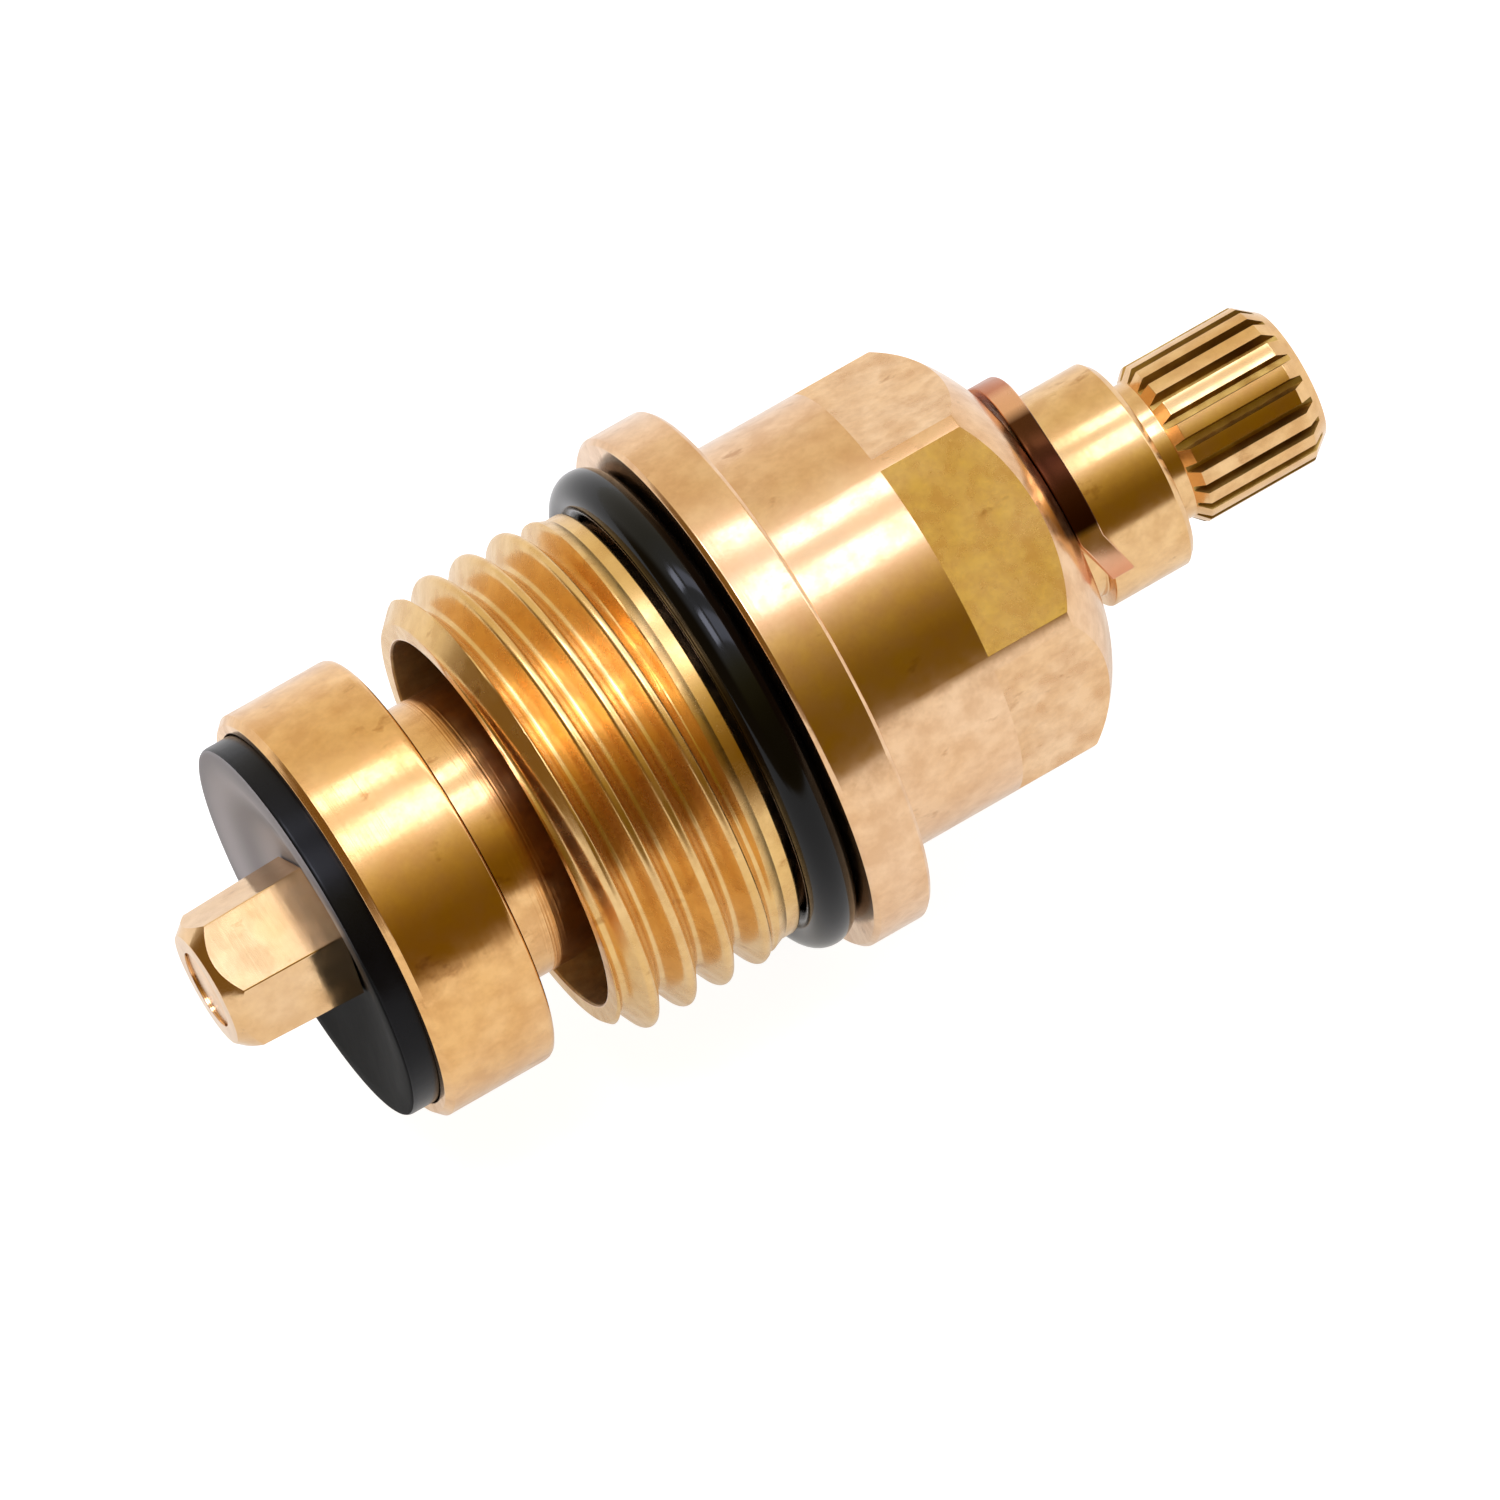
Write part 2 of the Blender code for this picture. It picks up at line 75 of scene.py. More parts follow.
# The thread has the rounded pipe form, 14 turns to the inch, with flanks 55 degrees apart. One of
# its crests is at CREST_AT on the axis where it passes CREST_ANGLE, measured from the front upwards.
PITCH = 1.814
THREAD_DEPTH = 0.6403 * PITCH
THREAD_ROUNDING = 0.1373 * PITCH
FLANK = math.radians(27.5)
THREAD_ROWS = 24
THREAD_RUNOUT = 1.1
RUNOUT_PAST_TOP = 0.7
THREAD_FADE_END, THREAD_FADE = THREAD_TOP + 0.4, 0.6
CREST_AT = -4.62
CREST_ANGLE = math.radians(57.3)


def softened(corners, radius, closed):
    """Round the corners of a profile of (x, radius) points, as turned edges are once deburred."""
    sharp = math.radians(20)
    longest_share = 0.4
    points = [Vector(corner) for corner in corners]
    rounded = []
    for i, corner in enumerate(points):
        at_end = i in (0, len(points) - 1) and not closed
        before = points[i - 1] - corner
        after = points[(i + 1) % len(points)] - corner
        turn = math.pi - before.angle(after)
        if at_end or turn < sharp:
            rounded.append(corner)
            continue
        reach = min(radius * math.tan(turn / 2), before.length * longest_share,
                    after.length * longest_share)
        start, stop = corner + before.normalized() * reach, corner + after.normalized() * reach
        for share in (0, 0.25, 0.5, 0.75, 1):
            one, two = start.lerp(corner, share), corner.lerp(stop, share)
            rounded.append(one.lerp(two, share))
    return rounded


def turned(name, profile, steps=TURN_STEPS, closed=False):
    """Draw a profile above the axis, point by point, and spin it round the axis into a solid."""
    bpy.ops.object.select_all(action="DESELECT")
    x, radius = profile[0]
    bpy.ops.mesh.primitive_plane_add(size=MM, location=(x * MM, 0, radius * MM))
    piece = bpy.context.object
    piece.name = name
    bpy.ops.object.mode_set(mode="EDIT")
    bpy.ops.mesh.merge(type="CENTER")
    for next_x, next_radius in [*profile[1:], *profile[:closed]]:
        move = ((next_x - x) * MM, 0, (next_radius - radius) * MM)
        bpy.ops.mesh.extrude_region_move(TRANSFORM_OT_translate={"value": move})
        x, radius = next_x, next_radius
    bpy.ops.mesh.select_all(action="SELECT")
    bpy.ops.mesh.spin(steps=steps, angle=math.tau, center=(0, 0, 0), axis=(1, 0, 0))
    bpy.ops.mesh.select_all(action="SELECT")
    bpy.ops.mesh.remove_doubles(threshold=0.001 * MM)
    bpy.ops.mesh.normals_make_consistent(inside=False)
    bpy.ops.object.mode_set(mode="OBJECT")
    bpy.ops.object.transform_apply(location=True, rotation=True, scale=True)
    return piece


def combine(piece, tool, operation="DIFFERENCE"):
    """Cut a piece with a tool, or keep what they share, and put the tool away."""
    bpy.ops.object.select_all(action="DESELECT")
    bpy.context.view_layer.objects.active = piece
    piece.select_set(True)
    boolean = piece.modifiers.new(tool.name, "BOOLEAN")
    boolean.operation = operation
    boolean.object = tool
    boolean.solver = "EXACT"
    bpy.ops.object.modifier_apply(modifier=boolean.name)
    bpy.data.objects.remove(tool)


def smooth(piece, angle=30, crisp_beyond=None):
    """Shade a piece smooth but for its edges. Past a place on the axis, shallow edges are kept too."""
    bpy.ops.object.select_all(action="DESELECT")
    bpy.context.view_layer.objects.active = piece
    piece.select_set(True)
    bpy.ops.object.shade_smooth_by_angle(angle=math.radians(angle))
    if crisp_beyond is not None:
        mesh = bmesh.new()
        mesh.from_mesh(piece.data)
        for edge in mesh.edges:
            beyond = edge.verts[0].co.x > crisp_beyond * MM
            if beyond and edge.calc_face_angle(0) > math.radians(6):
                edge.smooth = False
        mesh.to_mesh(piece.data)
        mesh.free()


def hexagonal_bar(name, start, end, flats, turn=0.0):
    """A six-sided bar along the axis, one of its flats square to the angle given by turn."""
    bpy.ops.object.select_all(action="DESELECT")
    corner = flats / 2 / math.cos(math.radians(30))
    bpy.ops.mesh.primitive_cylinder_add(vertices=6, radius=corner * MM, depth=(end - start) * MM,
                                        location=((start + end) / 2 * MM, 0, 0),
                                        rotation=(0, math.pi / 2, 0))
    bar = bpy.context.object
    bar.name = name
    bpy.ops.object.transform_apply(location=True, rotation=True, scale=True)
    bar.data.transform(Matrix.Rotation(math.radians(30) - turn, 4, "X"))
    return bar


def flat_cutters(name, start, end, flats, bar_radius):
    """Six blocks round the axis, just clear of each other, which leave six flats on a round bar."""
    blocks = []
    clear = 0.99
    half_width = flats / 2 * math.tan(math.radians(30)) * clear
    height = bar_radius + 2 * OVERSHOOT - flats / 2
    for i in range(6):
        turn = math.radians(60 * i)
        middle = flats / 2 + height / 2
        bpy.ops.object.select_all(action="DESELECT")
        bpy.ops.mesh.primitive_cube_add(
            size=1, location=((start + end) / 2 * MM, -middle * math.cos(turn) * MM,
                              middle * math.sin(turn) * MM),
            rotation=(-turn, 0, 0), scale=((end - start) * MM, height * MM, 2 * half_width * MM))
        blocks.append(bpy.context.object)
    for block in blocks:
        block.select_set(True)
    bpy.context.view_layer.objects.active = blocks[0]
    bpy.ops.object.join()
    bpy.ops.object.transform_apply(location=True, rotation=True, scale=True)
    joined = bpy.context.object
    joined.name = name
    return joined


def thread_drop(distance, pitch, depth, rounding):
    """How far the thread's form lies below its crest, by the distance from the crest's middle."""
    from_crest = abs((distance + pitch / 2) % pitch - pitch / 2)
    from_root = pitch / 2 - from_crest
    reach = rounding * math.cos(FLANK)
    if from_crest < reach:
        return rounding - math.sqrt(rounding ** 2 - from_crest ** 2)
    if from_root < reach:
        return depth - rounding + math.sqrt(rounding ** 2 - from_root ** 2)
    return rounding * (1 - math.sin(FLANK)) + (from_crest - reach) / math.tan(FLANK)


def dome(steps=14):
    """Points on the arc from the barrel to the crown."""
    first, last = Vector((DOME_START, BARREL_RADIUS)), Vector((CROWN, CROWN_RADIUS))
    chord = last - first
    outward = Vector((-chord.y, chord.x)).normalized()
    depth = math.sqrt(DOME_RADIUS ** 2 - chord.length_squared / 4)
    centre = (first + last) / 2 - outward * depth
    from_angle = math.atan2(first.y - centre.y, first.x - centre.x)
    to_angle = math.atan2(last.y - centre.y, last.x - centre.x)
    angles = [from_angle + (to_angle - from_angle) * i / steps for i in range(steps + 1)]
    return [(centre.x + DOME_RADIUS * math.cos(a), centre.y + DOME_RADIUS * math.sin(a))
            for a in angles]


skirt_outside = CREST_RADIUS - SKIRT_CHAMFER
land_start = THREAD_TOP + THREAD_RUNOUT * RUNOUT_PAST_TOP
outline = softened([
    (SKIRT_END, skirt_outside), (SKIRT_END + SKIRT_CHAMFER, CREST_RADIUS),
    (land_start - THREAD_RUNOUT, CREST_RADIUS), (land_start, LAND_RADIUS),
    (GROOVE_FOOT, LAND_RADIUS), (GROOVE_FOOT, GROOVE_RADIUS), (0, GROOVE_RADIUS),
    (0, FLANGE_RADIUS - FLANGE_CHAMFER), (FLANGE_CHAMFER, FLANGE_RADIUS),
    (FLANGE_TOP - FLANGE_CHAMFER, FLANGE_RADIUS), (FLANGE_TOP, FLANGE_RADIUS - FLANGE_CHAMFER),
    (FLANGE_TOP, BARREL_RADIUS), *dome(), (CROWN, SPINDLE_BORE + LATHE_CHAMFER),
    (CROWN - LATHE_CHAMFER, SPINDLE_BORE), (SKIRT_FLOOR, SPINDLE_BORE), (SKIRT_FLOOR, SKIRT_BORE),
    (SKIRT_END, SKIRT_BORE),
], EDGE_ROUNDING, True)
skirt_wall = SKIRT_BORE + 0.4
row = PITCH / THREAD_ROWS
fine = []
for here, after in zip(outline, outline[1:] + outline[:1]):
    fine.append(here)
    if after.x > here.x and here.x < land_start and here.y > skirt_wall:
        count = int((after.x - here.x) / row)
        fine += [here.lerp(after, (i + 1) / (count + 1)) for i in range(count)]

body = turned("threaded_body", fine, closed=True)
for vertex in body.data.vertices:
    x, y, z = (value / MM for value in vertex.co)
    radius = math.hypot(y, z)
    if radius > skirt_wall and x < GROOVE_FOOT:
        angle = math.atan2(z, -y)
        from_crest = x - CREST_AT + PITCH * (angle - CREST_ANGLE) / math.tau
        fade = min(1, max(0, (THREAD_FADE_END - x) / THREAD_FADE))
        drop = fade * thread_drop(from_crest, PITCH, THREAD_DEPTH, THREAD_ROUNDING)
        share = min(1, (CREST_RADIUS - drop) / radius)
        vertex.co.y *= share
        vertex.co.z *= share
combine(body, hexagonal_bar("broach", SKIRT_FLOOR - OVERSHOOT, SHOULDER, GUIDE_FLATS))
combine(body, flat_cutters("mill", FLATS_START, CROWN + OVERSHOOT, SPANNER_FLATS, BARREL_RADIUS))
smooth(body, crisp_beyond=FLATS_START - 0.1)


def add_node(tree, kind, sources=None, values=None, **settings):
    """Add a node to a material or to the world, set it up, and link its sources to its sockets."""
    node = tree.nodes.new(kind)
    for setting, value in settings.items():
        setattr(node, setting, value)
    for socket, value in (values or {}).items():
        node.inputs[socket].default_value = value
    for socket, source in (sources or {}).items():
        tree.links.new(source, node.inputs[socket])
    return node


def colour_ramp(tree, factor, stops):
    """Go from colour to colour by a factor. Each stop is a place from 0 to 1 and its colour."""
    ramp = add_node(tree, "ShaderNodeValToRGB", {"Fac": factor})
    elements = ramp.color_ramp.elements
    elements.remove(elements[-1])
    for i, (position, colour) in enumerate(stops):
        stop = elements[0] if i == 0 else elements.new(position)
        stop.position = position
        stop.color = (*colour, 1)
    return ramp.outputs["Color"]


def mixed(tree, first, second, factor=1.0, blend="MULTIPLY"):
    """Two colours mixed. Each of the colours and the factor is a number, a colour or a socket."""
    mix = add_node(tree, "ShaderNodeMix", data_type="RGBA", blend_type=blend)
    for socket, value in (("A", first), ("B", second), ("Factor", factor)):
        if isinstance(value, bpy.types.NodeSocket):
            tree.links.new(value, mix.inputs[socket])
        else:
            mix.inputs[socket].default_value = value
    return mix.outputs["Result"]


def brass(name, colour, tarnish, roughness, mottle=0.1, marks=0.12, patch=150.0):
    """Turned brass: its colour, patches of tarnish, mottling, stains, tool rings and small dents."""
    finish = bpy.data.materials.new(name)
    finish.use_nodes = True
    tree = finish.node_tree
    shader = tree.nodes["Principled BSDF"]
    shader.inputs["Metallic"].default_value = 1.0
    place = add_node(tree, "ShaderNodeTexCoord").outputs["Object"]

    def cloud(scale, detail, stretch=(1, 1, 1)):
        spread = add_node(tree, "ShaderNodeMapping", {"Vector": place}, {"Scale": stretch})
        noise = add_node(tree, "ShaderNodeTexNoise", {"Vector": spread.outputs["Vector"]},
                         {"Scale": scale, "Detail": detail, "Roughness": 0.6})
        return noise.outputs["Fac"]

    metal = colour_ramp(tree, cloud(patch, 8), [(0.4, tarnish), (0.62, colour)])
    blotches = cloud(900, 5)
    darker = (1 - mottle, 1 - 1.3 * mottle, 1 - 2 * mottle)
    lighter = (1 + mottle / 2, 1 + mottle, 1 + mottle)
    uneven = colour_ramp(tree, blotches, [(0.36, darker), (0.64, lighter)])
    stain, clean = (0.72, 0.62, 0.52), (1, 1, 1)
    stains = colour_ramp(tree, cloud(420, 6, (1.0, 1.6, 1.6)), [(0.29, stain), (0.37, clean)])
    surface = mixed(tree, mixed(tree, metal, uneven), stains)
    tree.links.new(surface, shader.inputs["Base Color"])

    dullness = add_node(tree, "ShaderNodeMapRange", {"Value": blotches}, {
        "From Min": 0.35, "From Max": 0.65, "To Min": roughness + 0.08, "To Max": roughness - 0.02})
    tree.links.new(dullness.outputs["Result"], shader.inputs["Roughness"])

    tool_rings, dents = cloud(1, 3, (5200, 60, 60)), cloud(700, 3)
    rings = add_node(tree, "ShaderNodeBump", {"Height": tool_rings},
                     {"Strength": marks, "Distance": 0.02 * MM})
    relief = add_node(tree, "ShaderNodeBump", {"Height": dents, "Normal": rings.outputs["Normal"]},
                      {"Strength": 0.10, "Distance": 0.04 * MM})
    tree.links.new(relief.outputs["Normal"], shader.inputs["Normal"])
    return finish


def paint_faces(piece, finish, chosen):
    """Give a second finish to some faces of a piece.

    They are chosen by their place on the axis and their radius in mm, by how far they look away
    from the axis, from -1 to 1, and by their normal."""
    piece.data.materials.append(finish)
    for face in piece.data.polygons:
        x, y, z = face.center / MM
        radius = math.hypot(y, z)
        outward = (y * face.normal.y + z * face.normal.z) / radius if radius else 0
        if chosen(x, radius, outward, face.normal):
            face.material_index = len(piece.data.materials) - 1


body.data.materials.clear()
body.data.materials.append(brass("forged_brass", (0.87, 0.57, 0.35), (0.83, 0.51, 0.28), 0.15))
cut_brass = brass("cut_thread_brass", (0.84, 0.55, 0.25), (0.79, 0.49, 0.18), 0.22, 0.07, 0.05)
paint_faces(body, cut_brass, lambda x, radius, outward, normal: x < GROOVE_FOOT + 0.05
            and radius > skirt_wall)


def on_flats(x, radius, outward, normal):
    """Whether a face lies on one of the spanner flats."""
    return x > FLATS_START and abs(normal.x) < 0.1 and radius < BARREL_RADIUS - 0.01


milled_brass = brass("milled_brass", (0.87, 0.57, 0.34), (0.83, 0.51, 0.27), 0.2, 0.12, 0.1, 300.0)
paint_faces(body, milled_brass, on_flats)

# One flat, the next above the front one, is more tarnished than the others.
STAINED_AT = math.radians(60)
stained_side = Vector((0, -math.cos(STAINED_AT), math.sin(STAINED_AT)))


def on_stained_flat(x, radius, outward, normal):
    """Whether a face lies on the tarnished flat."""
    return on_flats(x, radius, outward, normal) and normal.dot(stained_side) > 0.999


stained_brass = brass("stained_flat_brass", (0.88, 0.57, 0.24), (0.80, 0.49, 0.15), 0.22, 0.2,
                      0.1, 260.0)
paint_faces(body, stained_brass, on_stained_flat)


def in_bores(x, radius, outward, normal):
    """Whether a face is inside the body: on a bore's wall, or on a step that looks to the skirt."""
    wall = outward < -0.5
    step = normal.x < -0.5 and x > SKIRT_END + LATHE_CHAMFER
    return x < CROWN - LATHE_CHAMFER - 0.1 and radius < SKIRT_BORE + 0.1 and (wall or step)


# Inside the body the brass is duller, and darker: painted shade where little light reaches.
shaded_bored_brass = brass("dull_bored_brass_painted_shade", (0.55, 0.34, 0.14), (0.34, 0.19, 0.07), 0.4, 0.2, 0.3)
paint_faces(body, shaded_bored_brass, in_bores)
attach(body, "body")
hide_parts("headwork_body")

# The spindle is turned from brass bar. Its collar stands out of the body, and on its head twenty
# teeth are milled, which carry the handle; the handle's screw goes into the hole in its end.
DRIVE_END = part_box("spindle")[0][0] / MM
HEAD_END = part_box("spindle")[1][0] / MM
DRIVE_RADIUS = 4.0
THRUST_FOOT, THRUST_HEAD, THRUST_RADIUS = 4.4, 5.9, 6.25
COLLAR_RADIUS, COLLAR_TOP = 4.8, 20.25
RING_FLOOR, RING_WIDTH = 3.4, 2.1
LOWER_RING_FOOT, UPPER_RING_FOOT = 8.0, 11.5
CLIP_FLOOR, CLIP_GROOVE_TOP = 4.2, 16.3
NECK_RADIUS, HEAD_FOOT, HEAD_RADIUS = 3.2, 21.2, 3.7
HEAD_TAPER, HEAD_CHAMFER_LENGTH, HEAD_CHAMFER_DEPTH = 0.5, 0.95, 0.75
TEETH, TOOTH_DEPTH, TOOTH_CREST, TOOTH_ROOT = 20, 0.45, 0.66, 0.25
TEETH_TURN = 5.4
HOLE_RADIUS, HOLE_DEPTH, HOLE_CHAMFER = 1.65, 10.0, 0.35
FINE_ROUNDING = 0.1

spindle_outline = softened([
    (DRIVE_END, 0), (DRIVE_END, DRIVE_RADIUS - LATHE_CHAMFER),
    (DRIVE_END + LATHE_CHAMFER, DRIVE_RADIUS), (THRUST_FOOT, DRIVE_RADIUS),
    (THRUST_FOOT, THRUST_RADIUS), (THRUST_HEAD, THRUST_RADIUS), (THRUST_HEAD, COLLAR_RADIUS),
    (LOWER_RING_FOOT, COLLAR_RADIUS), (LOWER_RING_FOOT, RING_FLOOR),
    (LOWER_RING_FOOT + RING_WIDTH, RING_FLOOR), (LOWER_RING_FOOT + RING_WIDTH, COLLAR_RADIUS),
    (UPPER_RING_FOOT, COLLAR_RADIUS), (UPPER_RING_FOOT, RING_FLOOR),
    (UPPER_RING_FOOT + RING_WIDTH, RING_FLOOR), (UPPER_RING_FOOT + RING_WIDTH, COLLAR_RADIUS),
    (CROWN, COLLAR_RADIUS), (CROWN, CLIP_FLOOR), (CLIP_GROOVE_TOP, CLIP_FLOOR),
    (CLIP_GROOVE_TOP, COLLAR_RADIUS), (COLLAR_TOP - LATHE_CHAMFER, COLLAR_RADIUS),
    (COLLAR_TOP, COLLAR_RADIUS - LATHE_CHAMFER), (COLLAR_TOP, NECK_RADIUS),
    (HEAD_FOOT, NECK_RADIUS), (HEAD_FOOT + HEAD_TAPER, HEAD_RADIUS),
    (HEAD_END - HEAD_CHAMFER_LENGTH, HEAD_RADIUS), (HEAD_END, HEAD_RADIUS - HEAD_CHAMFER_DEPTH),
    (HEAD_END, HOLE_RADIUS + HOLE_CHAMFER), (HEAD_END - HOLE_CHAMFER, HOLE_RADIUS),
    (HEAD_END - HOLE_DEPTH, HOLE_RADIUS), (HEAD_END - HOLE_DEPTH - HOLE_RADIUS / 2, 0),
], FINE_ROUNDING, False)
spindle = turned("splined_spindle", spindle_outline, steps=144)

tooth_gap = math.tau * HEAD_RADIUS / TEETH - TOOTH_CREST
gap_floor, gap_top = HEAD_RADIUS - TOOTH_DEPTH, HEAD_RADIUS + TOOTH_DEPTH
gap_start, gap_end = HEAD_FOOT - OVERSHOOT, HEAD_END + OVERSHOOT
mills = []
for i in range(TEETH):
    turn = math.radians(TEETH_TURN) + math.tau * (i + 0.5) / TEETH
    bpy.ops.object.select_all(action="DESELECT")
    bpy.ops.mesh.primitive_cube_add(
        size=1, location=((gap_start + gap_end) / 2 * MM, 0, (gap_floor + gap_top) / 2 * MM),
        scale=((gap_end - gap_start) * MM, TOOTH_ROOT * MM, (gap_top - gap_floor) * MM))
    mill = bpy.context.object
    widening = (2 * tooth_gap - TOOTH_ROOT) / TOOTH_ROOT
    for vertex in mill.data.vertices:
        if vertex.co.z > 0:
            vertex.co.y *= widening
    bpy.ops.object.transform_apply(location=True, rotation=True, scale=True)
    mill.data.transform(Matrix.Rotation(math.pi / 2 - turn, 4, "X"))
    mills.append(mill)
bpy.ops.object.select_all(action="DESELECT")
for mill in mills:
    mill.select_set(True)
bpy.context.view_layer.objects.active = mills[0]
bpy.ops.object.join()
combine(spindle, bpy.context.object)
smooth(spindle)
spindle.data.materials.clear()
spindle.data.materials.append(brass("bar_brass", (0.85, 0.54, 0.27), (0.80, 0.48, 0.21), 0.14))
# The floors and sides of the gaps between the teeth are a darker, duller brass: painted shade in the
# gaps.
shaded_gap_brass = brass("tooth_gap_brass_painted_shade", (0.46, 0.29, 0.09), (0.30, 0.17, 0.04), 0.35, 0.2, 0.3)
paint_faces(spindle, shaded_gap_brass, lambda x, radius, outward, normal: x > HEAD_FOOT
            and abs(normal.x) < 0.3 and radius < HEAD_RADIUS - 0.03)
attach(spindle, "spindle")
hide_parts("spindle")

# The clip is an open ring of phosphor bronze strip, sprung into the spindle's groove. It keeps the
# spindle from sinking into the body, and its end is bent outwards so that it can be pulled off.
CLIP_FOOT, CLIP_THICKNESS = 15.1, 1.1
CLIP_INSIDE, CLIP_OUTSIDE = 4.3, 6.1
CLIP_START, CLIP_SWEEP = 18.0, 260.0
CLIP_BEND, CLIP_BEND_REACH = 0.7, 20.0
CLIP_SPRING, CLIP_SPRING_AT, CLIP_SPRING_REACH = 0.35, 115.0, 60.0
CLIP_LIFTS_OUT, CLIP_CLEARANCE = 0.08, 0.1
CLIP_STEPS = 104

bpy.ops.object.select_all(action="DESELECT")
clip_middle = (CLIP_INSIDE + CLIP_OUTSIDE) / 2
bpy.ops.mesh.primitive_plane_add(
    size=1, location=((CLIP_FOOT + CLIP_THICKNESS / 2) * MM, -clip_middle * MM, 0))
clip = bpy.context.object
clip.name = "bronze_spring_clip"
clip.scale = (CLIP_THICKNESS * MM, (CLIP_OUTSIDE - CLIP_INSIDE) * MM, 1)
bpy.ops.object.transform_apply(location=True, rotation=True, scale=True)
clip.data.transform(Matrix.Rotation(-math.radians(CLIP_START), 4, "X"))
bpy.ops.object.mode_set(mode="EDIT")
bpy.ops.mesh.select_all(action="SELECT")
bpy.ops.mesh.spin(steps=CLIP_STEPS, angle=math.radians(CLIP_SWEEP), center=(0, 0, 0),
                  axis=(1, 0, 0))
bpy.ops.mesh.select_all(action="SELECT")
bpy.ops.mesh.remove_doubles(threshold=0.001 * MM)
bpy.ops.mesh.normals_make_consistent(inside=False)
bpy.ops.object.mode_set(mode="OBJECT")

# The bent end and the spring of its back lift it along the axis. Where it is out of the groove, its
# inner edge stands on the collar.
inner_growth = (COLLAR_RADIUS + CLIP_CLEARANCE - CLIP_INSIDE) / CLIP_INSIDE
for vertex in clip.data.vertices:
    x, y, z = (value / MM for value in vertex.co)
    along = (math.degrees(math.atan2(z, -y)) - CLIP_START) % 360
    if along > (CLIP_SWEEP + 360) / 2:
        along = 0
    lift = CLIP_BEND * max(0, 1 - along / CLIP_BEND_REACH)
    from_middle = abs(along - CLIP_SPRING_AT) / CLIP_SPRING_REACH
    lift += CLIP_SPRING * (1 + math.cos(math.pi * min(1, from_middle))) / 2
    vertex.co.x += lift * MM
    if math.hypot(y, z) < clip_middle:
        share = 1 + min(1, lift / CLIP_LIFTS_OUT) * inner_growth
        vertex.co.y *= share
        vertex.co.z *= share
bevel = clip.modifiers.new("soft_edges", "BEVEL")
bevel.width = FINE_ROUNDING * MM
bevel.segments = 3
bevel.limit_method = "ANGLE"
bevel.angle_limit = math.radians(40)
bpy.ops.object.modifier_apply(modifier="soft_edges")
smooth(clip, 40)
clip.data.materials.clear()
spring_bronze = brass("spring_bronze", (0.72, 0.36, 0.19), (0.50, 0.20, 0.08), 0.2)
clip.data.materials.append(spring_bronze)

# Its back is coloured nearly black, with painted highlights in pale cream on both sides of it.
# The angles are in degrees round the axis, from the front upwards, and below the axis the copper
# is all one colour.
CLIP_DARK_BACK_AND_PAINTED_HIGHLIGHTS = [
    (20, (0.85, 0.45, 0.26)), (36, (0.95, 0.72, 0.50)), (41, (0.95, 0.72, 0.50)),
    (44, (0.07, 0.025, 0.008)), (74, (0.045, 0.014, 0.006)), (97, (0.10, 0.04, 0.012)),
    (104, (0.95, 0.62, 0.38)), (115, (0.95, 0.60, 0.36)), (122, (0.60, 0.24, 0.10)),
    (145, (0.60, 0.24, 0.10)), (180, (0.85, 0.45, 0.26)),
]
CLIP_PAINT_SHARE = 0.4


def angle_round_axis(tree, direction):
    """Split a place or direction into its angle round the axis, from the front, and its x."""
    axes = add_node(tree, "ShaderNodeSeparateXYZ", {"Vector": direction})
    forward = add_node(tree, "ShaderNodeMath", {0: axes.outputs["Y"]}, {1: -1},
                       operation="MULTIPLY")
    angle = add_node(tree, "ShaderNodeMath", {0: axes.outputs["Z"], 1: forward.outputs["Value"]},
                     operation="ARCTAN2")
    return angle.outputs["Value"], axes.outputs["X"]


def colour_by_angle(tree, angle, first, last, stops):
    """Colours round the axis between two angles. Each stop is an angle in degrees and its colour."""
    share = add_node(tree, "ShaderNodeMapRange", {"Value": angle},
                     {"From Min": math.radians(first), "From Max": math.radians(last)})
    shares = [((degrees - first) / (last - first), colour) for degrees, colour in stops]
    return colour_ramp(tree, share.outputs["Result"], shares)


def recoloured(finish, change):
    """Give a finish the colour that a function makes from its tree, the place and its old colour."""
    tree = finish.node_tree
    place = add_node(tree, "ShaderNodeTexCoord").outputs["Object"]
    socket = tree.nodes["Principled BSDF"].inputs["Base Color"]
    tree.links.new(change(tree, place, socket.links[0].from_socket), socket)


def with_dark_back_and_painted_highlights(tree, place, colour):
    """The clip's bronze, nearly black across its back and with painted highlights round the ring."""
    angle, _ = angle_round_axis(tree, place)
    clip_paint = colour_by_angle(tree, angle, 0, 180, CLIP_DARK_BACK_AND_PAINTED_HIGHLIGHTS)
    return mixed(tree, clip_paint, colour, CLIP_PAINT_SHARE)


# The clip's bronze gets its nearly black back and its painted highlights in cream.
recoloured(spring_bronze, with_dark_back_and_painted_highlights)
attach(clip, "spindle")
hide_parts("spindle_circlip")

# The jumper is turned from brass bar: a disc with a cup for the washer, a neck, and a six-sided
# guide that slides in the body. Its stud holds the washer's nut.
STUD_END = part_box("jumper")[0][0] / MM
GUIDE_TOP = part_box("jumper")[1][0] / MM
DISC_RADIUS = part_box("jumper")[1][2] / MM
DISC_RIM, CUP_FLOOR, DISC_TOP = -19.15, -16.95, -13.9
CUP_RADIUS, STUD_RADIUS, STUD_CHAMFER, JUMPER_NECK = 8.75, 1.78, 0.08, 6.4
GUIDE_FOOT, GUIDE_BAR_FLATS, GUIDE_CORNERS = -3.8, 13.0, 7.4
JUMPER_BORE, JUMPER_BORE_END, DRILL_POINT = 4.05, -12.3, 1.0
NECK_ROUNDING = 0.4

